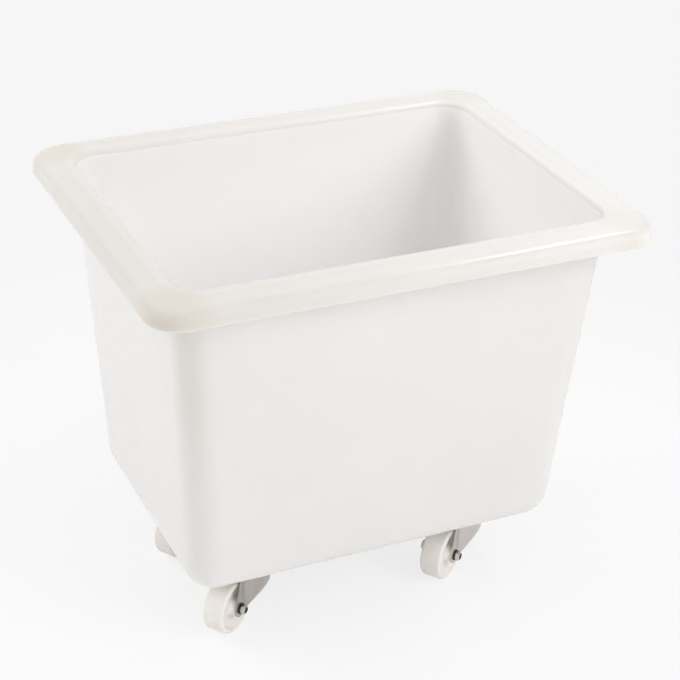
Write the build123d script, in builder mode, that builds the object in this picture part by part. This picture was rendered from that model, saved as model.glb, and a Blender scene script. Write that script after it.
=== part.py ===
from build123d import *
import os
from math import radians, tan

# A mobile food bin: a one-piece tapered tub with a turned-down rim, bolted on four swivel castors.
# Millimetres, +Z up. The origin is on the floor, under the middle of the tub.
# +X runs along the tub's long side.

# Tub
rim_length = 700.0
rim_width = 540.0
overall_height = 595.0
rim_corner = 44.0            # plan radius of the rim's outer corners
rim_overhang = 45.4          # from the tub wall, just under the rim, out to the rim's edge
rim_depth = 27.0             # height of the turned-down skirt
rim_wall = 5.0
rim_draft = 2.0              # degrees, the skirt splays outwards towards its lower edge
rim_outer_round = 9.0
rim_inner_round = 6.0
rim_lip_round = 1.5          # cut edge at the bottom of the skirt
finger_gap_round = 4.0       # inside the channel under the rim
wall = 6.5
floor_wall = 6.0
draft = 3.85                 # degrees, each wall leans in towards the base
body_corner = 43.0           # plan radius of the vertical corners at the base
base_round = 45.0            # the wall's sweep into the base

# Castor positions and the way each one is turned at rest, in degrees from +X
castor_spacing_x = 336.0
castor_spacing_y = 192.0
swivel_rest = {
    "front_left": (-1, -1, 37.0),
    "front_right": (1, -1, 37.0),
    "rear_left": (-1, 1, 34.5),
    "rear_right": (1, 1, 36.0),
}

# Castor
castor_height = 108.0
wheel_diameter = 80.0
wheel_width = 32.0
tread_round = 4.5
trail = 42.0                 # from the swivel axis back to the axle
hub_length = 40.0
hub_root_radius = 13.0
hub_end_radius = 10.0
face_recess = 5.0            # the wheel's side faces lie this far inside its rim
face_slope = 4.0             # and the step down to them is this wide
rim_band = 6.0               # width of the raised band beside the tread
thrust_gap = 0.4             # hub to fork cheek, each side
sleeve_radius = 6.0
wheel_running_gap = 0.06
axle_radius = 4.0            # M8
sleeve_bore_gap = 0.1
hole_gap = 0.05              # a bolt in its hole
sheet = 2.5                  # pressed stainless fork
head_radius = 39.5           # outside of the fork's drawn head
head_round = 7.0
head_top = 95.0
head_skirt = 13.0            # height of the head's skirt in front
shoulder_height = 85.0       # the cheeks' bulge is at its widest here
shoulder_overrun = 0.5       # and would stand out this far past the head's side
draw_step = 0.25             # the drawn wall starts this far outside the flat cheek
neck_height = 34.0           # and has come in to the axle's width here
boss_radius = 13.0
cheek_radius = 23.5          # round front of each cheek, seen from the side
cheek_ahead = 30.0           # its centre in front of the axle
cheek_above = 24.0           # and above it
shoulder_round = 3.0         # where the flat cheek runs into the round head

# Axle fasteners, M8
hex_across = 13.0
bolt_head_height = 5.3
nut_height = 5.0
nut_collar_height = 1.8
nut_collar_radius = 5.4
bolt_end_recess = 1.4        # the bolt ends this far inside the nut's collar
axle_washer_radius = 8.0
axle_washer_thickness = 1.6
thread_chamfer = 0.8         # at the end of every bolt and nut

# Swivel bearing
plate_length = 105.0
plate_width = 85.0
plate_thickness = 3.0
plate_corner = 8.0
bolt_spacing_x = 80.0
bolt_spacing_y = 60.0
ball_radius = 3.0
ball_ring_radius = 22.0
ball_count = 10
lower_ball_radius = 2.5
lower_ring_radius = 12.5
lower_ball_count = 6
race_gap = 0.3               # balls turn with the fork and run this far from the fixed races
groove_depth = 0.8           # balls sit this deep in the fork's head
race_inner = 16.0
race_outer = 28.3
race_mouth = 1.0             # the race's lower face lies this far above the balls' centres
kingpin_radius = 6.0
kingpin_gap = 0.6            # kingpin to the hole in the fork's head
kingpin_head_radius = 10.5
kingpin_head_height = 3.0
kingpin_chamfer = 1.0
kingpin_top_radius = 9.0     # countersunk, flush with the plate
kingpin_top_drop = 0.2
cup_radius = 17.5
cup_floor = 1.5              # under the lower balls' groove
cup_chamfer = 1.0
seal_inner = race_outer + 0.2
seal_outer = 31.8
seal_gap = 0.4               # lip of the dust seal to the fork's head
seal_lip_height = 1.4
seal_lip_lean = 1.2
seal_edge = 0.6

# Base fasteners, M8
base_bolt_radius = 4.0
base_head_radius = 8.0
base_head_height = 4.4
seal_washer_radius = 11.0
seal_washer_thickness = 1.5
spring_washer_radius = 7.0
spring_washer_thickness = 2.0
base_nut_height = 6.5
bolt_stickout = 1.5

# Worked out from the sizes above
wheel_radius = wheel_diameter / 2
body_length = rim_length - 2 * rim_overhang
body_width = rim_width - 2 * rim_overhang
rim_underside = overall_height - rim_depth
floor_top = castor_height + floor_wall
plate_bottom = castor_height - plate_thickness
fork_inner = hub_length / 2 + thrust_gap
fork_outer = fork_inner + sheet
ball_height = head_top - groove_depth + ball_radius
race_bottom = ball_height + race_mouth
head_underside = head_top - sheet
lower_ball_height = head_underside + groove_depth - lower_ball_radius
cup_top = lower_ball_height - race_mouth
cup_bottom = lower_ball_height - lower_ball_radius - race_gap - cup_floor
kingpin_bottom = cup_bottom - kingpin_head_height
castor_places = {
    corner: Location((sx * castor_spacing_x / 2, sy * castor_spacing_y / 2, 0), (0, 0, turn))
    for corner, (sx, sy, turn) in swivel_rest.items()
}


def tub_block(inset, bottom, round_radius):
    """Tapered block with rounded corners that lies `inset` inside the tub's outer faces."""
    lean = 2 * (rim_underside - bottom) * tan(radians(draft)) + 2 * inset
    with BuildPart() as block:
        with BuildSketch(Plane.XY.offset(bottom)):
            Rectangle(body_length - lean, body_width - lean)
        extrude(amount=overall_height - bottom, taper=-draft)
        corners = block.edges().group_by(Axis.Z)[1]
        fillet(corners, body_corner - inset)
        fillet(block.faces().sort_by(Axis.Z)[0].edges(), round_radius)
    return block.part


# Tub: rotationally moulded in one piece; the rim is an open channel all round
outer_block = tub_block(0, castor_height, base_round)
inner_block = tub_block(wall, floor_top, base_round - wall)
castor_pattern = [place.position for place in castor_places.values()]

with BuildPart() as tub:
    with BuildSketch(Plane.XY.offset(rim_underside)):
        RectangleRounded(rim_length, rim_width, rim_corner)
    extrude(amount=rim_depth, taper=rim_draft)
    fillet(tub.faces().sort_by(Axis.Z)[-1].edges(), rim_outer_round)
    fillet(tub.faces().sort_by(Axis.Z)[0].edges(), rim_lip_round)
    with BuildSketch(Plane.XY.offset(rim_underside)):
        RectangleRounded(rim_length - 2 * rim_wall, rim_width - 2 * rim_wall, rim_corner - rim_wall)
    extrude(amount=rim_depth - rim_wall, taper=rim_draft, mode=Mode.SUBTRACT)
    channel_roof = tub.faces().filter_by(Plane.XY).group_by(Axis.Z)[1]
    fillet(channel_roof.edges(), finger_gap_round)
    add(outer_block)
    add(inner_block, mode=Mode.SUBTRACT)
    fillet(tub.faces().sort_by(Axis.Z)[-1].inner_wires()[0].edges(), rim_inner_round)
    with BuildSketch(Plane.XY.offset(castor_height)):
        for place in castor_pattern:
            with Locations((place.X, place.Y)):
                with GridLocations(bolt_spacing_x, bolt_spacing_y, 2, 2):
                    Circle(base_bolt_radius + hole_gap)
    extrude(amount=floor_wall, mode=Mode.SUBTRACT)
tub.part.label = "tub"


def ring_groove(ring_radius, height, radius):
    """The ring that a ball of this radius sweeps round the swivel axis."""
    with BuildPart() as groove:
        with Locations((0, 0, height)):
            Torus(ring_radius, radius)
    return groove.part


# Castor top plate: stamped, with the upper ball race pressed into its underside
upper_race_groove = ring_groove(ball_ring_radius, ball_height, ball_radius + race_gap)
with BuildPart() as top_plate:
    with BuildSketch(Plane.XY.offset(plate_bottom)):
        RectangleRounded(plate_length, plate_width, plate_corner)
        with GridLocations(bolt_spacing_x, bolt_spacing_y, 2, 2):
            Circle(base_bolt_radius + hole_gap, mode=Mode.SUBTRACT)
    extrude(amount=plate_thickness)
    with BuildSketch(Plane.XY.offset(race_bottom)):
        Circle(race_outer)
        Circle(race_inner, mode=Mode.SUBTRACT)
    extrude(until=Until.NEXT)
    add(upper_race_groove, mode=Mode.SUBTRACT)
    with BuildSketch(Plane.XZ):
        with BuildLine():
            Polyline(
                (0, plate_bottom),
                (kingpin_radius, plate_bottom),
                (kingpin_top_radius, castor_height),
                (0, castor_height),
                close=True,
            )
        make_face()
    revolve(axis=Axis.Z, mode=Mode.SUBTRACT)

# Kingpin: turned stainless, riveted over in the plate's countersink
with BuildPart() as kingpin:
    with BuildSketch(Plane.XZ):
        with BuildLine():
            Polyline(
                (0, kingpin_bottom),
                (kingpin_head_radius - kingpin_chamfer, kingpin_bottom),
                (kingpin_head_radius, kingpin_bottom + kingpin_chamfer),
                (kingpin_head_radius, cup_bottom),
                (kingpin_radius, cup_bottom),
                (kingpin_radius, plate_bottom),
                (kingpin_top_radius - kingpin_top_drop, castor_height - kingpin_top_drop),
                (0, castor_height - kingpin_top_drop),
                close=True,
            )
        make_face()
    revolve(axis=Axis.Z)

# Lower ball cup: held on the kingpin by its head
lower_race_groove = ring_groove(lower_ring_radius, lower_ball_height, lower_ball_radius + race_gap)
with BuildPart() as lower_cup:
    with BuildSketch(Plane.XY.offset(cup_bottom)):
        Circle(cup_radius)
        Circle(kingpin_radius, mode=Mode.SUBTRACT)
    extrude(amount=cup_top - cup_bottom)
    chamfer(lower_cup.edges().group_by(Axis.Z)[0].sort_by(SortBy.RADIUS)[-1], cup_chamfer)
    add(lower_race_groove, mode=Mode.SUBTRACT)

# Ball rings: the upper ring carries the load, the lower ring keeps the head from lifting
with BuildPart() as bearing_balls:
    with Locations((0, 0, ball_height)):
        with PolarLocations(ball_ring_radius, ball_count):
            Sphere(ball_radius)
    with Locations((0, 0, lower_ball_height)):
        with PolarLocations(lower_ring_radius, lower_ball_count):
            Sphere(lower_ball_radius)

# Dust seal: a lipped ring pushed over the race
with BuildPart() as dust_seal:
    with BuildSketch(Plane.XZ):
        with BuildLine():
            Polyline(
                (seal_inner, plate_bottom),
                (seal_outer, plate_bottom),
                (seal_outer, head_top + seal_gap + seal_lip_height),
                (seal_outer - seal_lip_lean, head_top + seal_gap),
                (seal_inner + seal_edge, head_top + seal_gap),
                (seal_inner, head_top + seal_gap + seal_edge),
                close=True,
            )
        make_face()
    revolve(axis=Axis.Z)


def drawn_head(inset):
    """The fork's pressed form before its cheeks are trimmed, `inset` inside its outer surface.

    Seen from above it is a round head with a flat-sided tail round the wheel. Seen from the front its
    sides bulge in one arc from the axle's width up to the head's width.
    """
    beyond = 3 * trail
    radius = head_radius - inset
    half_width = fork_outer - inset
    rise = shoulder_height - neck_height
    narrowest = half_width + draw_step
    widest = radius + shoulder_overrun
    spread = widest - narrowest
    bulge = (spread ** 2 + rise ** 2) / (2 * spread)
    with BuildPart() as form:
        with BuildSketch(Plane.XY) as plan:
            Circle(radius)
            with Locations((-trail, 0)):
                Rectangle(2 * trail, 2 * half_width)
            corners = plan.vertices().filter_by_position(Axis.X, -radius, -1)
            fillet(corners, shoulder_round)
        extrude(amount=head_top - inset)
        with BuildSketch(Plane.YZ):
            with BuildLine():
                Line((narrowest, 0), (narrowest, neck_height))
                RadiusArc((narrowest, neck_height), (widest, shoulder_height), -bulge)
                Line((widest, shoulder_height), (widest, head_top - inset))
                Line((widest, head_top - inset), (0, head_top - inset))
                mirror(about=Plane.YZ)
                Line((narrowest, 0), (-narrowest, 0))
            make_face()
        extrude(amount=beyond, both=True, mode=Mode.INTERSECT)
        fillet(form.faces().sort_by(Axis.Z)[-1].edges(), head_round - inset)
    return form.part


# Fork: deep-drawn from one sheet, a round head running down into two cheeks
head_outside = drawn_head(0)
head_inside = drawn_head(sheet)
upper_groove = ring_groove(ball_ring_radius, ball_height, ball_radius)
lower_groove = ring_groove(lower_ring_radius, lower_ball_height, lower_ball_radius)
with BuildPart() as fork:
    add(head_outside)
    add(head_inside, mode=Mode.SUBTRACT)
    with BuildSketch(Plane.XZ):
        with Locations((-trail, wheel_radius)):
            Circle(boss_radius)
        with Locations((cheek_ahead - trail, wheel_radius + cheek_above)):
            Circle(cheek_radius)
        with Locations((-head_radius + head_round, head_top - head_skirt)):
            Circle(head_round)
        make_hull()
        with Locations((0, head_top)):
            Rectangle(2 * (head_radius + shoulder_overrun), 2 * head_skirt)
    extrude(amount=2 * head_radius, both=True, mode=Mode.INTERSECT)
    with BuildSketch(Plane.XZ):
        with Locations((-trail, wheel_radius)):
            Circle(axle_radius + hole_gap)
    extrude(amount=2 * fork_outer, both=True, mode=Mode.SUBTRACT)
    with BuildSketch(Plane.XY.offset(head_underside)):
        Circle(kingpin_radius + kingpin_gap)
    extrude(amount=sheet, mode=Mode.SUBTRACT)
    add(upper_groove, mode=Mode.SUBTRACT)
    add(lower_groove, mode=Mode.SUBTRACT)

# Wheel: solid nylon, turned about its axle; its side faces slope in below the band beside the tread
wheel_side = wheel_width / 2
wheel_face = wheel_side - face_recess
hub_end = hub_length / 2
band_inner = wheel_radius - rim_band
face_outer = band_inner - face_slope
with BuildPart() as wheel:
    with BuildSketch(Plane.YZ):
        with BuildLine():
            Line((0, 0), (0, wheel_radius))
            Line((0, wheel_radius), (wheel_side - tread_round, wheel_radius))
            RadiusArc(
                (wheel_side - tread_round, wheel_radius),
                (wheel_side, wheel_radius - tread_round),
                tread_round,
            )
            Line((wheel_side, wheel_radius - tread_round), (wheel_side, band_inner))
            Line((wheel_side, band_inner), (wheel_face, face_outer))
            Line((wheel_face, face_outer), (wheel_face, hub_root_radius))
            Line((wheel_face, hub_root_radius), (hub_end, hub_end_radius))
            Line((hub_end, hub_end_radius), (hub_end, 0))
            Line((hub_end, 0), (0, 0))
        make_face()
        mirror(about=Plane.YZ)
    revolve(axis=Axis.Y)
    with BuildSketch(Plane.XZ):
        Circle(sleeve_radius + wheel_running_gap)
    extrude(amount=hub_length, both=True, mode=Mode.SUBTRACT)

# Axle sleeve: stainless tube that the fork's cheeks clamp, so the wheel stays free
with BuildPart() as axle_sleeve:
    with BuildSketch(Plane.XZ):
        Circle(sleeve_radius)
        Circle(axle_radius + sleeve_bore_gap, mode=Mode.SUBTRACT)
    extrude(amount=fork_inner, both=True)

# Axle bolt: its head is on the fork's left cheek, seen from behind the wheel
washer_face = fork_outer + axle_washer_thickness
nut_end = washer_face + nut_height + nut_collar_height
with BuildPart() as axle_bolt:
    with BuildSketch(Plane.XZ.offset(-washer_face)):
        RegularPolygon(hex_across / 2, 6, major_radius=False)
    extrude(amount=-bolt_head_height)
    with BuildSketch(Plane.XZ.offset(-washer_face)):
        Circle(axle_radius)
    extrude(amount=washer_face + nut_end - bolt_end_recess)
    chamfer(axle_bolt.faces().sort_by(Axis.Y)[0].edges(), thread_chamfer)

# Axle nut: hexagon with a round collar that holds the locking ring
with BuildPart() as axle_nut:
    with BuildSketch(Plane.XZ.offset(washer_face)):
        RegularPolygon(hex_across / 2, 6, major_radius=False)
    extrude(amount=nut_height)
    with BuildSketch(Plane.XZ.offset(washer_face + nut_height)):
        Circle(nut_collar_radius)
    extrude(amount=nut_collar_height)
    chamfer(axle_nut.faces().sort_by(Axis.Y)[0].edges(), thread_chamfer)
    with BuildSketch(Plane.XZ.offset(washer_face)):
        Circle(axle_radius + hole_gap)
    extrude(amount=nut_end - washer_face, mode=Mode.SUBTRACT)

with BuildPart() as axle_washers:
    for face in (-fork_outer, fork_outer + axle_washer_thickness):
        with BuildSketch(Plane.XZ.offset(-face)):
            Circle(axle_washer_radius)
            Circle(axle_radius + hole_gap, mode=Mode.SUBTRACT)
        extrude(amount=axle_washer_thickness)

# Base fasteners: one of each, at the origin of its own hole
head_bottom = floor_top + seal_washer_thickness
bolt_end = plate_bottom - spring_washer_thickness - base_nut_height - bolt_stickout
dome_radius = (base_head_radius ** 2 + base_head_height ** 2) / (2 * base_head_height)
with BuildPart() as base_bolt:
    with BuildSketch(Plane.XZ):
        with BuildLine():
            Line((0, bolt_end), (base_bolt_radius - thread_chamfer, bolt_end))
            Line(
                (base_bolt_radius - thread_chamfer, bolt_end),
                (base_bolt_radius, bolt_end + thread_chamfer),
            )
            Line((base_bolt_radius, bolt_end + thread_chamfer), (base_bolt_radius, head_bottom))
            Line((base_bolt_radius, head_bottom), (base_head_radius, head_bottom))
            RadiusArc((base_head_radius, head_bottom), (0, head_bottom + base_head_height), -dome_radius)
            Line((0, head_bottom + base_head_height), (0, bolt_end))
        make_face()
    revolve(axis=Axis.Z)

with BuildPart() as sealing_washer:
    with BuildSketch(Plane.XY.offset(floor_top)):
        Circle(seal_washer_radius)
        Circle(base_bolt_radius + hole_gap, mode=Mode.SUBTRACT)
    extrude(amount=seal_washer_thickness)

with BuildPart() as spring_washer:
    with BuildSketch(Plane.XY.offset(plate_bottom)):
        Circle(spring_washer_radius)
        Circle(base_bolt_radius + hole_gap, mode=Mode.SUBTRACT)
    extrude(amount=-spring_washer_thickness)

with BuildPart() as base_nut:
    with BuildSketch(Plane.XY.offset(plate_bottom - spring_washer_thickness)):
        RegularPolygon(hex_across / 2, 6, major_radius=False)
        Circle(base_bolt_radius + hole_gap, mode=Mode.SUBTRACT)
    extrude(amount=-base_nut_height)

# Write every piece as its own file, each castor's pieces where that castor stands
os.makedirs("parts", exist_ok=True)
export_step(tub.part, "parts/tub.step")

axle_place = Location((-trail, 0, wheel_radius))
castor_pieces = {
    "top_plate": top_plate.part,
    "kingpin": kingpin.part,
    "lower_cup": lower_cup.part,
    "bearing_balls": bearing_balls.part,
    "dust_seal": dust_seal.part,
    "fork": fork.part,
    "wheel": wheel.part.moved(axle_place),
    "axle_sleeve": axle_sleeve.part.moved(axle_place),
    "axle_bolt": axle_bolt.part.moved(axle_place),
    "axle_nut": axle_nut.part.moved(axle_place),
    "axle_washers": axle_washers.part.moved(axle_place),
}
for corner, place in castor_places.items():
    plate_place = Location(place.position)
    for name, piece in castor_pieces.items():
        fixed = name == "top_plate"
        placed = piece.moved(plate_place if fixed else place)
        placed.label = f"{corner}_{name}"
        export_step(placed, f"parts/{placed.label}.step")

# The base fasteners stand in every hole of every castor plate
base_fasteners = {
    "base_bolts": base_bolt.part,
    "sealing_washers": sealing_washer.part,
    "spring_washers": spring_washer.part,
    "base_nuts": base_nut.part,
}
for name, piece in base_fasteners.items():
    with BuildPart() as group:
        for place in castor_pattern:
            with Locations((place.X, place.Y)):
                with GridLocations(bolt_spacing_x, bolt_spacing_y, 2, 2):
                    add(piece)
    group.part.label = name
    export_step(group.part, f"parts/{name}.step")
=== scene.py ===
from math import cos, radians, sin, tan

import bmesh
import bpy
import numpy as np
from mathutils import Matrix, Vector


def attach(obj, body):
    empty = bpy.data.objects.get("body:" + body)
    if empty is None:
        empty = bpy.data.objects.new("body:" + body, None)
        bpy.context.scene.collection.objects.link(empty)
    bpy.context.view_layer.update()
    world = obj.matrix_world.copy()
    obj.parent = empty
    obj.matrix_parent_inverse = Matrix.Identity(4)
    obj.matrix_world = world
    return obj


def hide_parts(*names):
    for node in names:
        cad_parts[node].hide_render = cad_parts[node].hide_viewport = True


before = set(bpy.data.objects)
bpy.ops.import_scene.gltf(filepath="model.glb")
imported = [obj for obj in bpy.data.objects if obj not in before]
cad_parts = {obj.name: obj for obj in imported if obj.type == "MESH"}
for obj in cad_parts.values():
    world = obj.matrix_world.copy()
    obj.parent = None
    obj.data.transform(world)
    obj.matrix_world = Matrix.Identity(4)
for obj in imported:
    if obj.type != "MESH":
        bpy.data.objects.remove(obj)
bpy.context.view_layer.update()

# A mobile food bin: a white tub on four swivel castors.
# Sizes are written in millimetres and turned to metres where the mesh is made.


# Tub: one piece of natural white polyethylene, rotationally moulded. The rim is an open channel that
# the mould turns outwards and down; its top is slightly crowned, and every edge is softly rounded.
rim_half_length, rim_half_width = 349.9, 269.9      # at the skirt's lower edge
wall_half_length, wall_half_width = 304.6, 224.6    # outer wall, level with that edge
rim_top, rim_underside, base_height = 595.0, 568.0, 108.0
skin, rim_skin, floor_skin = 6.5, 5.0, 6.0           # thickness of the wall, the rim and the floor
lean = tan(radians(3.85))                            # the walls lean in towards the base
splay = tan(radians(2.0))                            # the skirt leans out towards its edge
rim_corner, body_corner = 44.0, 43.0                 # plan radii
base_round, outer_round, inner_round, channel_round, lip_round = 45.0, 15.0, 7.0, 4.0, 2.0
crown_turn, crown_width = 5.0, 16.0                 # the rim's top bends down this far, over this width


def arc(centre, radius, start, end, count):
    """Points of a circle's arc in a profile, from one angle to the other: centre + radius (cos, sin)."""
    turn = np.radians(np.linspace(start, end, count))
    return np.stack([centre[0] + radius * np.cos(turn), centre[1] + radius * np.sin(turn)], axis=1)


def run(start, end, count):
    """Evenly spaced points of a straight run in a profile, without its two ends."""
    share = np.linspace(0, 1, count + 2)[1:-1, None]
    return np.array(start) * (1 - share) + np.array(end) * share


def wall_offset(height):
    """How far the outer wall stands out, at a height, from its place under the rim."""
    return (height - rim_underside) * lean


def tub_profile():
    """Rows of (outset, height, corner radius) from the middle of the base round to the middle of the floor.

    Outset is measured from the outer wall's line under the rim, so the plan of each row is a rounded
    rectangle of half sizes wall_half_length + outset and wall_half_width + outset.
    """
    slope = np.degrees(np.arctan(lean))
    rows = []

    def add(points, corner):
        corner = np.broadcast_to(np.asarray(corner, float), (len(points),))
        rows.append(np.column_stack([points, corner]))

    # sweep from the base into the outer wall
    outer_centre = (wall_offset(base_height + base_round) - base_round / cos(radians(slope)),
                    base_height + base_round)
    sweep = arc(outer_centre, base_round, -90, -slope, 16)
    add(sweep, body_corner + sweep[:, 0] - sweep[-1, 0])
    # outer wall, up into the channel under the rim
    roof = rim_top - rim_skin
    wall_top = (wall_offset(roof - channel_round), roof - channel_round)
    add(run(sweep[-1], wall_top, 40), body_corner)
    add(arc((wall_top[0] + channel_round, wall_top[1]), channel_round, 180, 90, 6), body_corner)
    # channel's roof, then down the inside of the skirt
    reach = rim_half_length - wall_half_length
    inside = reach - rim_skin - (roof - rim_underside) * splay
    inner_skirt = arc((inside - channel_round, roof - channel_round), channel_round, 90, 0, 6)
    add(run((wall_top[0] + channel_round, roof), inner_skirt[0], 5), rim_corner)
    add(inner_skirt, rim_corner - rim_skin)
    lip_inside = (reach - rim_skin, rim_underside + lip_round)
    add(run(inner_skirt[-1], lip_inside, 6), rim_corner - rim_skin)
    # rounded lip, then up the outside of the skirt
    add(arc((lip_inside[0] + lip_round, lip_inside[1]), lip_round, 180, 270, 6), rim_corner - rim_skin / 2)
    add(arc((reach - lip_round, lip_inside[1]), lip_round, 270, 360, 6), rim_corner - rim_skin / 4)
    crown_radius = crown_width / sin(radians(crown_turn))
    crown_drop = crown_radius * (1 - cos(radians(crown_turn)))
    # the round's centre lies in line with the crown's end, so the two arcs meet without a kink
    round_height = rim_top - crown_drop - outer_round * cos(radians(crown_turn))
    outer_edge = reach - (round_height - rim_underside) * splay
    add(run((reach, lip_inside[1]), (outer_edge, round_height), 8), rim_corner)
    add(arc((outer_edge - outer_round, round_height), outer_round, 0, 90 - crown_turn, 16), rim_corner)
    # crowned top: one wide arc, then nearly flat to the inner rounding
    crown_start = outer_edge - outer_round + outer_round * sin(radians(crown_turn)) - crown_width
    inner_wall_top = wall_offset(rim_top - inner_round) - skin
    end = inner_wall_top + inner_round
    crowned = arc((crown_start, rim_top - crown_radius), crown_radius, 90 - crown_turn, 90, 16)[1:]
    flat_top = run((crown_start, rim_top), (end, rim_top), 5)
    top = np.concatenate([crowned, flat_top])
    share = (top[0, 0] - top[:, 0]) / (top[0, 0] - end)
    add(top, rim_corner - (rim_corner - body_corner + skin) * share)
    # down the inner wall
    add(arc((end, rim_top - inner_round), inner_round, 90, 180, 14), body_corner - skin)
    floor_height = base_height + floor_skin
    inner_sweep_radius = base_round - skin
    inner_centre = (wall_offset(floor_height + inner_sweep_radius) - skin - inner_sweep_radius / cos(radians(slope)),
                    floor_height + inner_sweep_radius)
    inner_sweep = arc(inner_centre, inner_sweep_radius, -slope, -90, 16)
    add(run((inner_wall_top, rim_top - inner_round), inner_sweep[0], 40), body_corner - skin)
    add(inner_sweep, body_corner - skin + inner_sweep[:, 0] - inner_sweep[0, 0])
    return np.concatenate(rows)


def plan_directions(corner_steps, long_steps, short_steps):
    """Round a rounded rectangle: each column's corner centre as shares of the half sizes, and its normal."""
    turn = np.radians(np.linspace(0, 90, corner_steps + 1))
    columns = []
    for quarter, steps in enumerate((long_steps, short_steps, long_steps, short_steps)):
        angle = turn + radians(90 * quarter)
        sign = np.sign([cos(radians(90 * quarter + 45)), sin(radians(90 * quarter + 45))])
        after = np.sign([cos(radians(90 * quarter + 135)), sin(radians(90 * quarter + 135))])
        corner = np.column_stack([np.full(len(angle), sign[0]), np.full(len(angle), sign[1]), np.cos(angle), np.sin(angle)])
        share = np.linspace(0, 1, steps + 1)[1:-1, None]
        side = np.column_stack([sign * (1 - share) + after * share, np.tile([cos(angle[-1]), sin(angle[-1])], (len(share), 1))])
        columns += [corner, side]
    return np.concatenate(columns)


def sheet_of_quads(name, points, merge=1e-6):
    """A mesh from a grid of points in millimetres: rows follow the profile, and columns run round it.

    Each cell of the grid is one face. The UV map holds the share of the way round and the metres along
    the profile. Rows that shrink to one point close into a pole when doubles are merged.
    """
    rows, columns = points.shape[:2]
    corners = (np.arange(rows * columns).reshape(rows, columns))
    across = np.roll(corners, -1, axis=1)
    quads = np.stack([corners[:-1], across[:-1], across[1:], corners[1:]], axis=-1).reshape(-1, 4)
    length = np.cumsum(np.linalg.norm(np.diff(points[:, 0], axis=0, prepend=points[:1, 0]), axis=1)) / 1000
    round_share = np.broadcast_to(np.arange(columns) / columns, (rows - 1, columns))
    next_share = round_share + 1 / columns
    low = np.broadcast_to(length[:-1, None], round_share.shape)
    high = np.broadcast_to(length[1:, None], round_share.shape)
    uv = np.stack([round_share, low, next_share, low, next_share, high, round_share, high], axis=-1)
    mesh = bpy.data.meshes.new(name)
    mesh.from_pydata((points.reshape(-1, 3) / 1000).tolist(), [], quads.tolist())
    mesh.uv_layers.new(name="surface").data.foreach_set("uv", uv.reshape(-1))
    work = bmesh.new()
    work.from_mesh(mesh)
    bmesh.ops.remove_doubles(work, verts=work.verts, dist=merge)
    bmesh.ops.recalc_face_normals(work, faces=work.faces)
    work.to_mesh(mesh)
    work.free()
    mesh.polygons.foreach_set("use_smooth", np.ones(len(mesh.polygons), bool))
    piece = bpy.data.objects.new(name, mesh)
    bpy.context.scene.collection.objects.link(piece)
    return piece


def linear(colour):
    """sRGB hex to the linear values a shader takes: x / 12.92 when dark, else ((x + 0.055) / 1.055) ^ 2.4."""
    value = np.array([int(colour[i:i + 2], 16) for i in (1, 3, 5)]) / 255
    value = np.where(value <= 0.04045, value / 12.92, ((value + 0.055) / 1.055) ** 2.4)
    return (*value, 1.0)


def add_node(tree, kind, settings=None, **inputs):
    """Adds one node with its settings. Each input is a value, or the socket that feeds it."""
    made = tree.nodes.new(kind)
    for key, value in (settings or {}).items():
        setattr(made, key, value)
    for key, value in inputs.items():
        socket = made.inputs[int(key[1:])] if key[1:].isdigit() else made.inputs[key.replace("_", " ")]
        if isinstance(value, bpy.types.NodeSocket):
            tree.links.new(value, socket)
        else:
            socket.default_value = value
    return made


def new_material(name):
    """An empty material with a Principled shader wired to its output."""
    made = bpy.data.materials.new(name)
    made.use_nodes = True
    tree = made.node_tree
    tree.nodes.clear()
    shader = add_node(tree, "ShaderNodeBsdfPrincipled")
    add_node(tree, "ShaderNodeOutputMaterial", Surface=shader.outputs["BSDF"])
    return made, tree, shader


def set_inputs(shader, **values):
    for key, value in values.items():
        shader.inputs[key.replace("_", " ")].default_value = value


profile = tub_profile()
half_x = wall_half_length + profile[:, :1]
half_y = wall_half_width + profile[:, :1]
corner_radius = np.maximum(profile[:, 2:3], 4.0)      # the sweep's corners never close to slivers
round_plan = plan_directions(22, 44, 36)
share_x, share_y, normal_x, normal_y = round_plan.T
tub_points = np.stack([
    share_x * (half_x - corner_radius) + corner_radius * normal_x,
    share_y * (half_y - corner_radius) + corner_radius * normal_y,
    np.broadcast_to(profile[:, 1:2], (len(profile), len(round_plan))),
], axis=-1)
# the flat base and floor shrink to their middles in a few rows of plain rectangles, whose corners are
# single points, so that no slivers run along the diagonals
shrink = np.array([0.0, 0.25, 0.5, 0.75, 0.97])[:, None, None]
core = np.stack([share_x * (half_x - corner_radius), share_y * (half_y - corner_radius),
                 np.broadcast_to(profile[:, 1:2], (len(profile), len(round_plan)))], axis=-1)
flat = np.array([1, 1, 0])
base_rows = core[0] * flat * shrink + core[0] * (1 - flat)
floor_rows = (core[-1] * flat * shrink + core[-1] * (1 - flat))[::-1]
tub_points = np.concatenate([base_rows, tub_points, floor_rows])
# big moulded faces are never quite flat: a slow swell of a few tenths of a millimetre, inwards only
x, y, z = np.moveaxis(tub_points, -1, 0)
swell = 0.5 + 0.25 * (np.sin(x / 61 + 1.1) * np.cos(z / 83) + np.sin(y / 47 - 0.6) * np.sin(z / 59 + 2.0))
on_wall = np.clip((z - 160) / 60, 0, 1) * np.clip((560 - z) / 40, 0, 1)
tub_points[..., 0] -= 0.45 * swell * on_wall * np.sign(x) * (np.abs(x) > 200)
tub_points[..., 1] -= 0.45 * swell * on_wall * np.sign(y) * (np.abs(y) > 150)
tub = sheet_of_quads("tub_moulding", tub_points)

# Polyethylene, natural white, cast against a blasted aluminium mould: a soft semi-gloss skin that light
# enters a little way, so shade edges blur and thin lips glow. The mould leaves a faint orange peel.
polyethylene, tree, shader = new_material("rotomoulded_polyethylene_natural_white")
place = add_node(tree, "ShaderNodeTexCoord").outputs["Object"]
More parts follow.
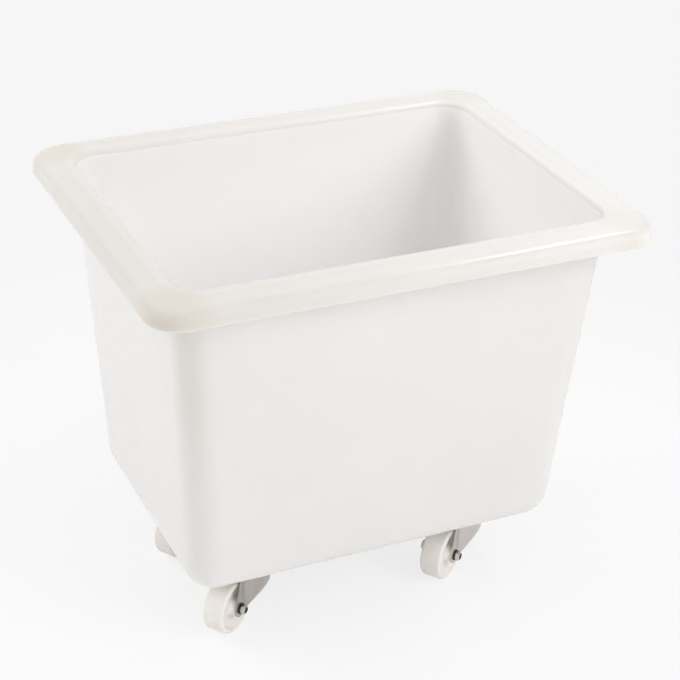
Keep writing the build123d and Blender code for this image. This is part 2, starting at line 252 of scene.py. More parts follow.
# distance out from the core of the leaning, round-cornered tub: length(max((|x| + lean * depth, |y| + lean * depth,
# base sweep - z) - (half size - corner), 0)), about 43 mm on the outer skin, 36 mm inside and 88 mm on the rim's edge
apart = add_node(tree, "ShaderNodeSeparateXYZ", Vector=place)
drawn_in = add_node(tree, "ShaderNodeMath", {"operation": "MULTIPLY_ADD"}, _0=apart.outputs["Z"], _1=-lean,
                    _2=rim_underside * lean / 1000)
drawn_in = add_node(tree, "ShaderNodeCombineXYZ", X=drawn_in.outputs["Value"], Y=drawn_in.outputs["Value"])
outward = add_node(tree, "ShaderNodeVectorMath", {"operation": "ABSOLUTE"}, Vector=place)
outward = add_node(tree, "ShaderNodeVectorMath", {"operation": "MULTIPLY_ADD"}, _0=outward.outputs["Vector"],
                   _1=(1.0, 1.0, -1.0), _2=((body_corner - wall_half_length) / 1000, (body_corner - wall_half_width) / 1000,
                                            (base_height + base_round) / 1000))
outward = add_node(tree, "ShaderNodeVectorMath", {"operation": "ADD"}, _0=outward.outputs["Vector"],
                   _1=drawn_in.outputs["Vector"])
outward = add_node(tree, "ShaderNodeVectorMath", {"operation": "MAXIMUM"}, _0=outward.outputs["Vector"], _1=(0.0, 0.0, 0.0))
out_xy = add_node(tree, "ShaderNodeSeparateXYZ", Vector=outward.outputs["Vector"])
# mask for the painted shade on the tub's corners
corner_way = add_node(tree, "ShaderNodeMath", {"operation": "MINIMUM"}, _0=out_xy.outputs["X"], _1=out_xy.outputs["Y"])
corner_shade_share = add_node(tree, "ShaderNodeMapRange", Value=corner_way.outputs["Value"], From_Min=0.004, From_Max=0.034)
corner_shade_height = add_node(tree, "ShaderNodeMapRange", Value=apart.outputs["Z"], From_Min=0.16, From_Max=0.45, To_Min=0.0)
corner_shade_and_nylon_scuffs = add_node(tree, "ShaderNodeMath", {"operation": "MULTIPLY"}, _0=corner_shade_share.outputs["Result"],
                   _1=corner_shade_height.outputs["Result"])
outward = add_node(tree, "ShaderNodeVectorMath", {"operation": "LENGTH"}, Vector=outward.outputs["Vector"])
# zones for the painted shade: 0 inside, about 0.13 on the outer walls and 1 on the rim's edge
skin_zone = add_node(tree, "ShaderNodeMapRange", Value=outward.outputs["Value"],
                     From_Min=(body_corner - 7) / 1000, From_Max=(body_corner + 45) / 1000)
edge_zone = add_node(tree, "ShaderNodeMapRange", Value=apart.outputs["Z"], From_Min=0.584, From_Max=0.594, To_Max=0.3)
zone = add_node(tree, "ShaderNodeMath", {"operation": "MAXIMUM"}, _0=skin_zone.outputs["Result"],
                _1=edge_zone.outputs["Result"])
cloud = add_node(tree, "ShaderNodeTexNoise", Vector=place, Scale=7.0, Detail=3.0)
tone = add_node(tree, "ShaderNodeValToRGB", Fac=cloud.outputs["Fac"])
tone.color_ramp.elements[0].position, tone.color_ramp.elements[1].position = 0.3, 0.7
tone.color_ramp.elements[0].color = linear("#fbfaf9")
tone.color_ramp.elements[1].color = linear("#fdfcfb")
peel = add_node(tree, "ShaderNodeTexNoise", Vector=place, Scale=260.0, Detail=2.0)       # about 4 mm
slow = add_node(tree, "ShaderNodeTexNoise", Vector=place, Scale=38.0, Detail=1.0)        # about 25 mm
grit = add_node(tree, "ShaderNodeTexNoise", Vector=place, Scale=1400.0, Detail=2.0)      # blasted mould, 0.7 mm
rough = add_node(tree, "ShaderNodeMapRange", Value=slow.outputs["Fac"], To_Min=0.16, To_Max=0.24)
waves = add_node(tree, "ShaderNodeBump", Height=slow.outputs["Fac"], Strength=0.35, Distance=0.0006)
skin_bump = add_node(tree, "ShaderNodeBump", Height=peel.outputs["Fac"], Strength=0.35, Distance=0.0001,
                     Normal=waves.outputs["Normal"])
fine_bump = add_node(tree, "ShaderNodeBump", Height=grit.outputs["Fac"], Strength=0.25, Distance=0.00002,
                     Normal=skin_bump.outputs["Normal"])
# painted shade: the inside stays white, the outer walls are darker, and the rim and its inner top edge are a little
# less dark than the walls
painted_shade_ramp = add_node(tree, "ShaderNodeValToRGB", Fac=zone.outputs["Value"])
stops = painted_shade_ramp.color_ramp.elements
stops[0].position, stops[0].color = 0.05, linear("#ffffff")
stops[1].position, stops[1].color = 0.60, linear("#ebeae8")
stops.new(0.12).color = linear("#e4e4e4")
stops.new(0.27).color = linear("#e9e8e7")
tone_with_painted_shade = add_node(tree, "ShaderNodeMix", {"data_type": "RGBA", "blend_type": "MULTIPLY"}, _0=1.0,
                _6=tone.outputs["Color"], _7=painted_shade_ramp.outputs["Color"])
# painted shade: the tub's corners, from 0.16 m up and fully from 0.45 m, are made warmer and darker
tone_with_painted_shade = add_node(tree, "ShaderNodeMix", {"data_type": "RGBA", "blend_type": "MULTIPLY"}, _0=corner_shade_and_nylon_scuffs.outputs["Value"],
                _6=tone_with_painted_shade.outputs[2], _7=linear("#faf8f5"))
# painted shade: the rim is made darker towards its -x end
along = add_node(tree, "ShaderNodeSeparateXYZ", Vector=place)
painted_shade_toward_minus_x = add_node(tree, "ShaderNodeMapRange", Value=along.outputs["X"], From_Min=0.30, From_Max=-0.34, To_Max=0.85)
on_rim = add_node(tree, "ShaderNodeMapRange", Value=zone.outputs["Value"], From_Min=0.15, From_Max=0.35)
painted_rim_shade = add_node(tree, "ShaderNodeMath", {"operation": "MULTIPLY"}, _0=painted_shade_toward_minus_x.outputs["Result"], _1=on_rim.outputs["Result"])
tone_with_painted_shade = add_node(tree, "ShaderNodeMix", {"data_type": "RGBA", "blend_type": "MULTIPLY"}, _0=painted_rim_shade.outputs["Value"],
                _6=tone_with_painted_shade.outputs[2], _7=linear("#eeecea"))
tree.links.new(tone_with_painted_shade.outputs[2], shader.inputs["Base Color"])
tree.links.new(rough.outputs["Result"], shader.inputs["Roughness"])
tree.links.new(fine_bump.outputs["Normal"], shader.inputs["Normal"])
set_inputs(shader, IOR=1.51, Subsurface_Weight=1.0, Subsurface_Radius=(1.0, 0.98, 0.96), Subsurface_Scale=0.012,
           Subsurface_Anisotropy=0.5)
tub.data.materials.append(polyethylene)
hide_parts("tub")
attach(tub, "tub")


# Castors: where each one stands, and how far its fork is turned from straight ahead at rest.
# The sizes below are in the castor's own frame: the swivel axis is up, the wheel trails behind at -x.
castors = {
    "front_left": (-168.0, -96.0, 37.0),
    "front_right": (168.0, -96.0, 37.0),
    "rear_left": (-168.0, 96.0, 34.5),
    "rear_right": (168.0, 96.0, 36.0),
}
trail, axle_height = 42.0, 40.0


def on_castor(points, corner, turned=True):
    """Castor points moved to their corner: turned about the swivel axis, then shifted."""
    x, y, turn = castors[corner]
    turn = radians(turn if turned else 0.0)
    spin = np.array([[cos(turn), -sin(turn), 0], [sin(turn), cos(turn), 0], [0, 0, 1]])
    return points @ spin.T + np.array([x, y, 0.0])


def turned(profile_points, columns, axis="z", centre=(0.0, 0.0, 0.0)):
    """Surface of revolution: (radius, height) points carried once round an axis through the centre."""
    turn = np.linspace(0, 2 * np.pi, columns, endpoint=False)
    radius, height = profile_points[:, :1], profile_points[:, 1:2]
    flat_a, flat_b = radius * np.cos(turn), radius * np.sin(turn)
    height = np.broadcast_to(height, flat_a.shape)
    order = {"z": (flat_a, flat_b, height), "y": (flat_b, height, flat_a)}[axis]
    return np.stack(order, axis=-1) + np.array(centre)


def softened(corners, radius, steps=4):
    """A closed or open profile with each inner corner replaced by an arc of about the given radius.

    The arc is a quadratic curve between points cut back along both runs: (1-t)^2 a + 2t(1-t) b + t^2 c.
    """
    corners = np.asarray(corners, float)
    t = np.linspace(0, 1, steps + 1)[:, None]
    parts = [corners[:1]]
    for before, at, after in zip(corners[:-2], corners[1:-1], corners[2:]):
        cut_in = min(radius, 0.45 * np.linalg.norm(at - before))
        cut_out = min(radius, 0.45 * np.linalg.norm(after - at))
        start = at + (before - at) / np.linalg.norm(before - at) * cut_in
        end = at + (after - at) / np.linalg.norm(after - at) * cut_out
        parts.append((1 - t) ** 2 * start + 2 * t * (1 - t) * at + t ** 2 * end)
    return np.concatenate(parts + [corners[-1:]])


def ring_profile(inner, outer, low, high, edge):
    """Closed profile of a flat ring with softened edges, as (radius, height)."""
    middle = (low + high) / 2
    return softened([(inner, middle), (inner, low), (outer, low), (outer, high), (inner, high), (inner, middle)], edge)


def finish(piece, material, body, slot, *nodes):
    """Gives a finished piece its material and body, and hides the CAD nodes it stands for. The slot is not used."""
    piece.data.materials.append(material)
    if nodes:
        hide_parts(*nodes)
    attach(piece, body)
    return piece


# Wheels: solid cast nylon, turned to size. The tread has rounded edges; each side face is sunk inside a
# raised band, and the hub is a cone that runs out to the fork's cheek.
wheel_radius, wheel_half, tread_round = 40.0, 16.0, 4.5
band, face_sink, face_slope, hub_half, hub_root, hub_end, bore = 6.0, 5.0, 4.0, 20.0, 13.0, 10.0, 6.06
nylon, tree, shader = new_material("cast_nylon_off_white")
# Cast nylon, warm off-white: a waxy sheen with fine rings left by the lathe
along = add_node(tree, "ShaderNodeUVMap", {"uv_map": "surface"}).outputs["UV"]
place = add_node(tree, "ShaderNodeTexCoord").outputs["Object"]
split = add_node(tree, "ShaderNodeSeparateXYZ", Vector=along)
rings = add_node(tree, "ShaderNodeMath", {"operation": "SINE"},
                 _0=add_node(tree, "ShaderNodeMath", {"operation": "MULTIPLY"}, _0=split.outputs["Y"],
                             _1=2 * np.pi / 0.0007).outputs["Value"])                    # a ring every 0.7 mm
mottle = add_node(tree, "ShaderNodeTexNoise", Vector=place, Scale=45.0, Detail=3.0)
tone = add_node(tree, "ShaderNodeValToRGB", Fac=mottle.outputs["Fac"])
tone.color_ramp.elements[0].position, tone.color_ramp.elements[1].position = 0.35, 0.7
tone.color_ramp.elements[0].color = linear("#efebe5")
tone.color_ramp.elements[1].color = linear("#f5f2ed")
rough = add_node(tree, "ShaderNodeMapRange", Value=mottle.outputs["Fac"], To_Min=0.46, To_Max=0.6)
lathe = add_node(tree, "ShaderNodeBump", Height=rings.outputs["Value"], Strength=0.25, Distance=0.00003)
scuff = add_node(tree, "ShaderNodeTexNoise", Vector=place, Scale=420.0, Detail=4.0, Roughness=0.7)
corner_shade_and_nylon_scuffs = add_node(tree, "ShaderNodeBump", Height=scuff.outputs["Fac"], Strength=0.3, Distance=0.00008,
                   Normal=lathe.outputs["Normal"])
tree.links.new(tone.outputs["Color"], shader.inputs["Base Color"])
tree.links.new(rough.outputs["Result"], shader.inputs["Roughness"])
tree.links.new(corner_shade_and_nylon_scuffs.outputs["Normal"], shader.inputs["Normal"])
set_inputs(shader, IOR=1.53, Subsurface_Weight=0.2, Subsurface_Radius=(1.0, 0.9, 0.75), Subsurface_Scale=0.003)

side = [(wheel_radius, 0), (wheel_radius, wheel_half - tread_round)]
tread_edge = arc((wheel_radius - tread_round, wheel_half - tread_round), tread_round, 0, 90, 9)
face = softened([
    tread_edge[-1], (wheel_radius - band, wheel_half), (wheel_radius - band - face_slope, wheel_half - face_sink),
    (hub_root + 1.2, wheel_half - face_sink), (hub_end, hub_half), (bore + 0.6, hub_half), (bore, hub_half - 0.6),
    (bore, 0),
], 1.2, 5)
near_half = np.concatenate([side, tread_edge[1:-1], face])
far_half = near_half[::-1] * [1, -1]
wheel_profile = np.concatenate([near_half, far_half])
for corner in castors:
    points = turned(wheel_profile, 96, "y", (-trail, 0, axle_height))
    finish(sheet_of_quads(f"{corner}_wheel_cast", on_castor(points, corner)), nylon, f"{corner}_wheel",
           "wheel_nylon", f"{corner}_wheel")


# Forks: one sheet of stainless steel, deep-drawn into a round head that runs down into two cheeks, then
# trimmed and tumbled. The CAD form is right, so it is copied, its facets are welded and it is shaded smooth except at
# its real edges.
def welded_copy(node, name, sharp=32.0):
    """The CAD node's surface as one piece: doubled corners are merged, and only real edges stay sharp."""
    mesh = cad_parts[node].data.copy()
    mesh.materials.clear()
    work = bmesh.new()
    work.from_mesh(mesh)
    bmesh.ops.remove_doubles(work, verts=work.verts, dist=2e-6)
    for edge in work.edges:
        edge.smooth = len(edge.link_faces) == 2 and edge.calc_face_angle(0) < radians(sharp)
    work.to_mesh(mesh)
    work.free()
    mesh.polygons.foreach_set("use_smooth", np.ones(len(mesh.polygons), bool))
    piece = bpy.data.objects.new(name, mesh)
    bpy.context.scene.collection.objects.link(piece)
    return piece


# Stainless steel sheet, drawn and tumbled: grey with a soft, slightly streaked shine along the draw
drawn_steel, tree, shader = new_material("deep_drawn_stainless_tumbled")
place = add_node(tree, "ShaderNodeTexCoord").outputs["Object"]
stretch = add_node(tree, "ShaderNodeMapping", Vector=place, Scale=(1.0, 1.0, 0.12))
streak = add_node(tree, "ShaderNodeTexNoise", Vector=stretch.outputs["Vector"], Scale=900.0, Detail=3.0)
stone = add_node(tree, "ShaderNodeTexNoise", Vector=place, Scale=160.0, Detail=4.0, Roughness=0.6)
rough = add_node(tree, "ShaderNodeMapRange", Value=stone.outputs["Fac"], To_Min=0.26, To_Max=0.42)
tone = add_node(tree, "ShaderNodeValToRGB", Fac=stone.outputs["Fac"])
tone.color_ramp.elements[0].color = linear("#aaa39d")
tone.color_ramp.elements[1].color = linear("#c4beb9")
grain = add_node(tree, "ShaderNodeBump", Height=streak.outputs["Fac"], Strength=0.3, Distance=0.00002)
# painted reflection: the steel at the +x end, on the castors and top plates there, is made brighter
along = add_node(tree, "ShaderNodeSeparateXYZ", Vector=place)
painted_light_toward_plus_x = add_node(tree, "ShaderNodeMapRange", Value=along.outputs["X"], From_Min=-0.1, From_Max=0.1, To_Min=0.0, To_Max=0.33)
tone = add_node(tree, "ShaderNodeMix", {"data_type": "RGBA"}, _0=painted_light_toward_plus_x.outputs["Result"],
                _6=tone.outputs["Color"], _7=linear("#f0ecec"))
tree.links.new(tone.outputs[2], shader.inputs["Base Color"])
tree.links.new(rough.outputs["Result"], shader.inputs["Roughness"])
tree.links.new(grain.outputs["Normal"], shader.inputs["Normal"])
set_inputs(shader, Metallic=1.0)
for corner in castors:
    finish(welded_copy(f"{corner}_fork", f"{corner}_fork_drawn"), drawn_steel, f"{corner}_swivel",
           "pressed_stainless", f"{corner}_fork")
    finish(welded_copy(f"{corner}_top_plate", f"{corner}_top_plate_stamped"), drawn_steel, "tub",
           "pressed_stainless", f"{corner}_top_plate")


# Axle bolts, nuts and washers: M8 in A2 stainless. The bolt is cold-headed, the nut carries a locking
# ring of dark nylon in its collar, and the washers lie flat against the fork's cheeks.
hex_flat, cheek_outside, washer_thick, washer_radius = 6.5, 22.9, 1.6, 8.0
bolt_head, nut_body, nut_collar, collar_radius, thread_radius = 5.3, 5.0, 1.8, 5.4, 4.0
seat = cheek_outside + washer_thick
bright_steel, tree, shader = new_material("cold_headed_stainless_bright")
# Stainless steel, turned or headed: brighter than the sheet, with a fine sparkle at its edges
place = add_node(tree, "ShaderNodeTexCoord").outputs["Object"]
mark = add_node(tree, "ShaderNodeTexNoise", Vector=place, Scale=700.0, Detail=3.0)
rough = add_node(tree, "ShaderNodeMapRange", Value=mark.outputs["Fac"], To_Min=0.18, To_Max=0.34)
grain = add_node(tree, "ShaderNodeBump", Height=mark.outputs["Fac"], Strength=0.2, Distance=0.00003)
tree.links.new(rough.outputs["Result"], shader.inputs["Roughness"])
tree.links.new(grain.outputs["Normal"], shader.inputs["Normal"])
set_inputs(shader, Metallic=1.0, Base_Color=linear("#c9c5bf"))


def hexagonal(profile_points, flat_half, columns=96, axis="y", centre=(0.0, 0.0, 0.0)):
    """Like a turned surface, but no radius passes the hexagon: r = min(profile, flat / cos(angle to flat))."""
    turn = np.linspace(0, 2 * np.pi, columns, endpoint=False)
    to_flat = np.mod(turn + np.pi / 6, np.pi / 3) - np.pi / 6
    radius = np.minimum(profile_points[:, :1], flat_half / np.cos(to_flat))
    height = np.broadcast_to(profile_points[:, 1:2], radius.shape)
    flat_a, flat_b = radius * np.cos(turn), radius * np.sin(turn)
    order = {"y": (flat_b, height, flat_a), "z": (flat_a, flat_b, height)}[axis]
    return np.stack(order, axis=-1) + np.array(centre)


# A chamfer cone takes the hexagon's points off: its radius falls from past the points to the flats
point_radius = hex_flat / cos(radians(30))
head_top = seat + bolt_head
bolt_profile = np.array([
    (thread_radius, seat), (point_radius, seat), (point_radius, seat + 2.0), (point_radius, head_top - 1.0),
    (point_radius - 0.35, head_top - 0.6), (hex_flat - 0.1, head_top), (3.0, head_top), (2.8, head_top - 0.25),
    (0.0, head_top - 0.25),
])
shank_end = -(seat + nut_body - 0.3)
shank_profile = np.array([(0, shank_end), (thread_radius - 0.8, shank_end), (thread_radius, shank_end + 0.8),
                          (thread_radius, seat)])
nut_top = -(seat + nut_body)
nut_profile = np.array([
    (thread_radius + 0.05, -seat), (hex_flat - 0.1, -seat), (point_radius - 0.3, -seat - 0.35), (point_radius, -seat - 0.8),
    (point_radius, nut_top + 1.2), (point_radius - 0.35, nut_top + 0.7), (hex_flat - 0.15, nut_top + 0.1),
    (collar_radius + 0.2, nut_top), (collar_radius, nut_top - 0.2), (collar_radius, nut_top - nut_collar + 0.6),
    (collar_radius - 0.25, nut_top - nut_collar + 0.15), (collar_radius - 0.7, nut_top - nut_collar),
    (thread_radius + 0.75, nut_top - nut_collar + 0.15), (thread_radius + 0.7, nut_top - 0.3),
    (thread_radius + 0.05, nut_top - 0.3), (thread_radius + 0.05, -seat),
])
plug_radius, plug_face = thread_radius + 0.68, nut_top - nut_collar + 0.5
plug_profile = np.array([(0, plug_face + 0.25), (2.6, plug_face + 0.12), (plug_radius - 0.2, plug_face), (plug_radius, plug_face + 0.2),
                         (plug_radius, nut_top - 0.3), (0, nut_top - 0.3)])
locking_ring, tree, shader = new_material("moulded_nylon_locking_ring_dark_and_painted_shade")
# Nylon ring, dark and matt; it also covers the nut's middle, where its dark colour is painted shade for the hollow at
# the bolt's end
place = add_node(tree, "ShaderNodeTexCoord").outputs["Object"]
dull = add_node(tree, "ShaderNodeTexNoise", Vector=place, Scale=900.0, Detail=2.0)
rough = add_node(tree, "ShaderNodeMapRange", Value=dull.outputs["Fac"], To_Min=0.5, To_Max=0.7)
tree.links.new(rough.outputs["Result"], shader.inputs["Roughness"])
set_inputs(shader, Base_Color=linear("#101012"), IOR=1.53)
washer_steel_painted_shade, tree, shader = new_material("stainless_washer_painted_shade")
# Stainless washer, coloured dark as painted shade: it draws the dark line of shade behind each nut
place = add_node(tree, "ShaderNodeTexCoord").outputs["Object"]
rub = add_node(tree, "ShaderNodeTexNoise", Vector=place, Scale=800.0, Detail=3.0)
rough = add_node(tree, "ShaderNodeMapRange", Value=rub.outputs["Fac"], To_Min=0.35, To_Max=0.55)
tree.links.new(rough.outputs["Result"], shader.inputs["Roughness"])
set_inputs(shader, Metallic=1.0, Base_Color=linear("#4a4745"))
on_axle = (-trail, 0, axle_height)
for corner in castors:
    swivel = f"{corner}_swivel"
    head = sheet_of_quads(f"{corner}_axle_bolt_head", on_castor(hexagonal(bolt_profile, hex_flat, centre=on_axle), corner))
    finish(head, bright_steel, swivel, "turned_stainless", f"{corner}_axle_bolt")
    shank = turned(shank_profile, 32, "y", on_axle)
    finish(sheet_of_quads(f"{corner}_axle_bolt_shank", on_castor(shank, corner)), bright_steel, swivel, "turned_stainless")
    nut = sheet_of_quads(f"{corner}_axle_nut_hexagon", on_castor(hexagonal(nut_profile, hex_flat, centre=on_axle), corner))
    finish(nut, bright_steel, swivel, "turned_stainless", f"{corner}_axle_nut")
    lock = turned(plug_profile, 48, "y", on_axle)
    finish(sheet_of_quads(f"{corner}_axle_nut_lock", on_castor(lock, corner)), locking_ring, swivel, "turned_stainless")
    for side, low in (("bolt", cheek_outside), ("nut", -cheek_outside - washer_thick)):
        ring = turned(ring_profile(thread_radius + 0.05, washer_radius, low, low + washer_thick, 0.25), 56, "y", on_axle)
        washer = finish(sheet_of_quads(f"{corner}_axle_washer_{side}", on_castor(ring, corner)), washer_steel_painted_shade, swivel,
                        "turned_stainless", *([f"{corner}_axle_washers"] if side == "bolt" else []))
    sleeve = turned(ring_profile(4.1, 6.0, -20.4, 20.4, 0.3), 48, "y", on_axle)
    finish(sheet_of_quads(f"{corner}_axle_sleeve_tube", on_castor(sleeve, corner)), bright_steel, swivel,
           "turned_stainless", f"{corner}_axle_sleeve")


# Swivel bearings: kingpin, lower cup and balls of bearing steel inside the fork's head, and a grey rubber
# lip seal round the upper race that keeps wash water out.
ball_steel, tree, shader = new_material("polished_bearing_steel")
# Ground and polished bearing steel: a small clear highlight with faint oil haze
place = add_node(tree, "ShaderNodeTexCoord").outputs["Object"]
haze = add_node(tree, "ShaderNodeTexNoise", Vector=place, Scale=300.0, Detail=2.0)
rough = add_node(tree, "ShaderNodeMapRange", Value=haze.outputs["Fac"], To_Min=0.08, To_Max=0.2)
tree.links.new(rough.outputs["Result"], shader.inputs["Roughness"])
set_inputs(shader, Metallic=1.0, Base_Color=linear("#cfcfcf"))
rubber, tree, shader = new_material("moulded_nitrile_rubber_grey")
# Nitrile rubber, pressed in a mould: dull dark grey with a dusty bloom
place = add_node(tree, "ShaderNodeTexCoord").outputs["Object"]
bloom = add_node(tree, "ShaderNodeTexNoise", Vector=place, Scale=120.0, Detail=4.0)
tone = add_node(tree, "ShaderNodeValToRGB", Fac=bloom.outputs["Fac"])
tone.color_ramp.elements[0].color = linear("#4a4a4b")
tone.color_ramp.elements[1].color = linear("#5d5d5c")
fine = add_node(tree, "ShaderNodeTexNoise", Vector=place, Scale=1100.0, Detail=2.0)
grain = add_node(tree, "ShaderNodeBump", Height=fine.outputs["Fac"], Strength=0.35, Distance=0.00005)
tree.links.new(tone.outputs["Color"], shader.inputs["Base Color"])
tree.links.new(grain.outputs["Normal"], shader.inputs["Normal"])
set_inputs(shader, Roughness=0.62, IOR=1.52)
for corner in castors:
    finish(welded_copy(f"{corner}_kingpin", f"{corner}_kingpin_turned"), bright_steel, "tub", "turned_stainless",
           f"{corner}_kingpin")
    finish(welded_copy(f"{corner}_lower_cup", f"{corner}_lower_cup_turned"), bright_steel, "tub", "turned_stainless",
           f"{corner}_lower_cup")
    finish(welded_copy(f"{corner}_bearing_balls", f"{corner}_balls_polished", 60.0), ball_steel, f"{corner}_swivel",
           "bearing_steel", f"{corner}_bearing_balls")
    finish(welded_copy(f"{corner}_dust_seal", f"{corner}_dust_seal_moulded"), rubber, "tub", "seal_rubber",
           f"{corner}_dust_seal")


# Base fasteners: four M8 bolts through the tub's floor into each castor plate. Inside the tub each has a
# low domed head on a rubber sealing washer; under the plate are a spring washer and a nut.
plate_bottom, floor_top, seal_thick, seal_radius = 105.0, 114.0, 1.5, 11.0
head_radius, head_height, spring_thick, base_nut = 8.0, 4.4, 2.0, 6.5
bolt_places = [(x + sx * 40.0, y + sy * 30.0) for x, y, _ in castors.values() for sx in (-1, 1) for sy in (-1, 1)]
dome = (head_radius ** 2 + head_height ** 2) / (2 * head_height)
under_head = floor_top + seal_thick
bolt_end = plate_bottom - spring_thick - base_nut - 1.5
cap = np.degrees(np.arcsin(head_radius / dome))
dome_profile = np.concatenate([
    [(0, bolt_end), (3.2, bolt_end), (4.0, bolt_end + 0.8), (4.0, under_head), (head_radius - 0.2, under_head)],
    arc((0, under_head + head_height - dome), dome, 90 - cap + 1.5, 90, 14),
])
seal_profile = ring_profile(4.05, seal_radius, floor_top, under_head, 0.45)
spring_profile = ring_profile(4.05, 7.0, plate_bottom - spring_thick, plate_bottom, 0.3)
nut_high, nut_low = plate_bottom - spring_thick, plate_bottom - spring_thick - base_nut
base_nut_profile = np.array([
    (4.05, nut_high), (hex_flat - 0.1, nut_high), (point_radius - 0.3, nut_high - 0.35), (point_radius, nut_high - 0.8),
    (point_radius, nut_low + 0.8), (point_radius - 0.3, nut_low + 0.35), (hex_flat - 0.1, nut_low), (4.6, nut_low),
    (4.05, nut_low + 0.5), (4.05, nut_high),
])


def joined(name, grids):
    """One object from several grids: each becomes its own surface, and the surfaces share one mesh."""
    parts = [sheet_of_quads(f"{name}_{i}", grid) for i, grid in enumerate(grids)]
    with bpy.context.temp_override(active_object=parts[0], selected_editable_objects=parts):
        bpy.ops.object.join()
    parts[0].name = parts[0].data.name = name
    return parts[0]


def each_bolt(grid):
    return [grid + np.array([x, y, 0.0]) for x, y in bolt_places]


finish(joined("base_bolts_domed", each_bolt(turned(dome_profile, 40))), bright_steel, "tub", "turned_stainless", "base_bolts")
finish(joined("sealing_washers_moulded", each_bolt(turned(seal_profile, 48))), rubber, "tub", "seal_rubber", "sealing_washers")
finish(joined("spring_washers_hardened", each_bolt(turned(spring_profile, 40))), bright_steel, "tub", "turned_stainless",
       "spring_washers")
finish(joined("base_nuts_hexagon", each_bolt(hexagonal(base_nut_profile, hex_flat, 72, "z"))), bright_steel, "tub",
       "turned_stainless", "base_nuts")


# Studio: a pale table that runs on as the backdrop, two big soft lamps at the back left and front right, a weak one
# near the camera and a thin strip overhead.
# The table catches the bin's shadow, and further out it is the same pale grey as the picture's edge.
backdrop_grey = linear("#f6f6f6")
table_mesh = bpy.data.meshes.new("table")
table_mesh.from_pydata([(-9, -9, 0), (9, -9, 0), (9, 9, 0), (-9, 9, 0)], [], [(0, 1, 2, 3)])
table = bpy.data.objects.new("table", table_mesh)
bpy.context.scene.collection.objects.link(table)
pale_table = bpy.data.materials.new("pale_table")
pale_table.use_nodes = True
tree = pale_table.node_tree
tree.nodes.clear()
place = add_node(tree, "ShaderNodeTexCoord").outputs["Object"]
distance = add_node(tree, "ShaderNodeVectorMath", {"operation": "LENGTH"}, Vector=place)
far = add_node(tree, "ShaderNodeMapRange", {"interpolation_type": "SMOOTHSTEP"}, Value=distance.outputs["Value"],
               From_Min=0.45, From_Max=1.3)
ray = add_node(tree, "ShaderNodeLightPath")
seen = add_node(tree, "ShaderNodeMath", {"operation": "MAXIMUM"}, _0=ray.outputs["Is Camera Ray"],
                _1=ray.outputs["Is Glossy Ray"])
seen = add_node(tree, "ShaderNodeMath", {"operation": "MAXIMUM"}, _0=seen.outputs["Value"],
                _1=ray.outputs["Is Transmission Ray"])
catcher = add_node(tree, "ShaderNodeBsdfDiffuse", Color=(0.22, 0.22, 0.22, 1))
lift = add_node(tree, "ShaderNodeEmission", Color=(0.75, 0.75, 0.75, 1), Strength=1.0)
near_table = add_node(tree, "ShaderNodeAddShader", _0=catcher.outputs["BSDF"], _1=lift.outputs["Emission"])
far_table = add_node(tree, "ShaderNodeEmission", Color=backdrop_grey, Strength=1.0)
shown = add_node(tree, "ShaderNodeMixShader", Fac=far.outputs["Result"], _1=near_table.outputs["Shader"],
                 _2=far_table.outputs["Emission"])
lit = add_node(tree, "ShaderNodeBsdfDiffuse", Color=(0.92, 0.92, 0.92, 1))
whole = add_node(tree, "ShaderNodeMixShader", Fac=seen.outputs["Value"], _1=lit.outputs["BSDF"], _2=shown.outputs["Shader"])
add_node(tree, "ShaderNodeOutputMaterial", Surface=whole.outputs["Shader"])
table_mesh.materials.append(pale_table)

world = bpy.data.worlds.new("studio_air")
bpy.context.scene.world = world
world.use_nodes = True
tree = world.node_tree
tree.nodes.clear()
ray = add_node(tree, "ShaderNodeLightPath")
seen = add_node(tree, "ShaderNodeMath", {"operation": "MAXIMUM"}, _0=ray.outputs["Is Camera Ray"],
                _1=ray.outputs["Is Glossy Ray"])
air = add_node(tree, "ShaderNodeBackground", Color=(1.0, 0.99, 0.985, 1), Strength=0.62)
wall = add_node(tree, "ShaderNodeBackground", Color=backdrop_grey, Strength=1.0)
mix = add_node(tree, "ShaderNodeMixShader", Fac=seen.outputs["Value"], _1=air.outputs["Background"],
               _2=wall.outputs["Background"])
add_node(tree, "ShaderNodeOutputWorld", Surface=mix.outputs["Shader"])


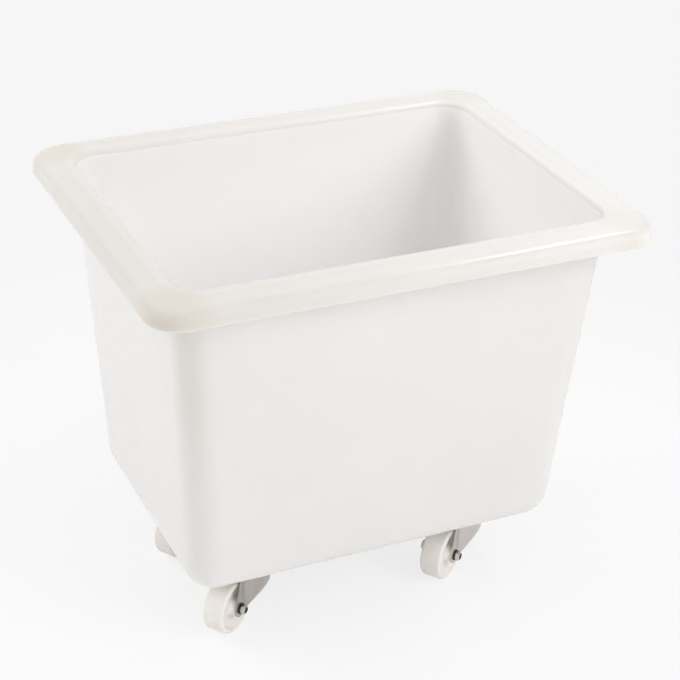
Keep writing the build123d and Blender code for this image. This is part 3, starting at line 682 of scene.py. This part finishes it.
def soft_lamp(name, position, aim, size, power, colour, mirrored=False):
    """A rectangular studio lamp of the given size in metres, turned to face its aim."""
    light = bpy.data.lights.new(name, "AREA")
    light.shape, light.size, light.size_y = "RECTANGLE", *size
    light.energy, light.color = power, colour
    lamp = bpy.data.objects.new(name, light)
    lamp.location = position
    lamp.rotation_mode = "QUATERNION"
    lamp.rotation_quaternion = (Vector(aim) - Vector(position)).to_track_quat("-Z", "Y")
    lamp.visible_glossy = mirrored
    bpy.context.scene.collection.objects.link(lamp)


soft_lamp("back_left", (-1.8, 1.3, 1.95), (0, 0, 0.45), (1.4, 1.2), 25, (1.0, 0.995, 0.99))
soft_lamp("front_right", (1.75, -2.4, 2.1), (0, 0, 0.42), (1.9, 1.6), 36, (1.0, 0.99, 0.985))
soft_lamp("camera_side", (-1.3, -2.2, 0.7), (0, 0, 0.3), (1.2, 0.8), 6, (1.0, 0.99, 0.985))
soft_lamp("overhead", (1.2, -0.4, 2.4), (0, 0, 0.5), (0.9, 0.12), 7, (1.0, 0.995, 0.99), mirrored=True)


# Camera: on the side of the near left corner, about 2.6 m away and 29 degrees above the horizon.
# Its place comes from a fit to the rim, the base and the wheels in the photograph.
view_turn, view_rise, view_roll = radians(-25.63), radians(29.03), radians(2.13)
distance_back, shift_right, shift_up, focal_pixels, frame_pixels = 2.56577, 0.01634, 0.04903, 1808.76, 680
back = Vector((sin(view_turn) * cos(view_rise), -cos(view_turn) * cos(view_rise), sin(view_rise)))
right = (-back).cross(Vector((0, 0, 1))).normalized()
up = right.cross(-back)
right, up = cos(view_roll) * right + sin(view_roll) * up, cos(view_roll) * up - sin(view_roll) * right
target = Vector((0, 0, 0.3)) + shift_right * right + shift_up * up
lens = bpy.data.cameras.new("camera")
lens.sensor_width = 36.0
lens.lens = lens.sensor_width * focal_pixels / frame_pixels
camera = bpy.data.objects.new("camera", lens)
camera.matrix_world = Matrix.Translation(target + distance_back * back) @ Matrix((right, up, back)).transposed().to_4x4()
bpy.context.scene.collection.objects.link(camera)
bpy.context.scene.camera = camera
bpy.context.scene.view_settings.view_transform = "Standard"
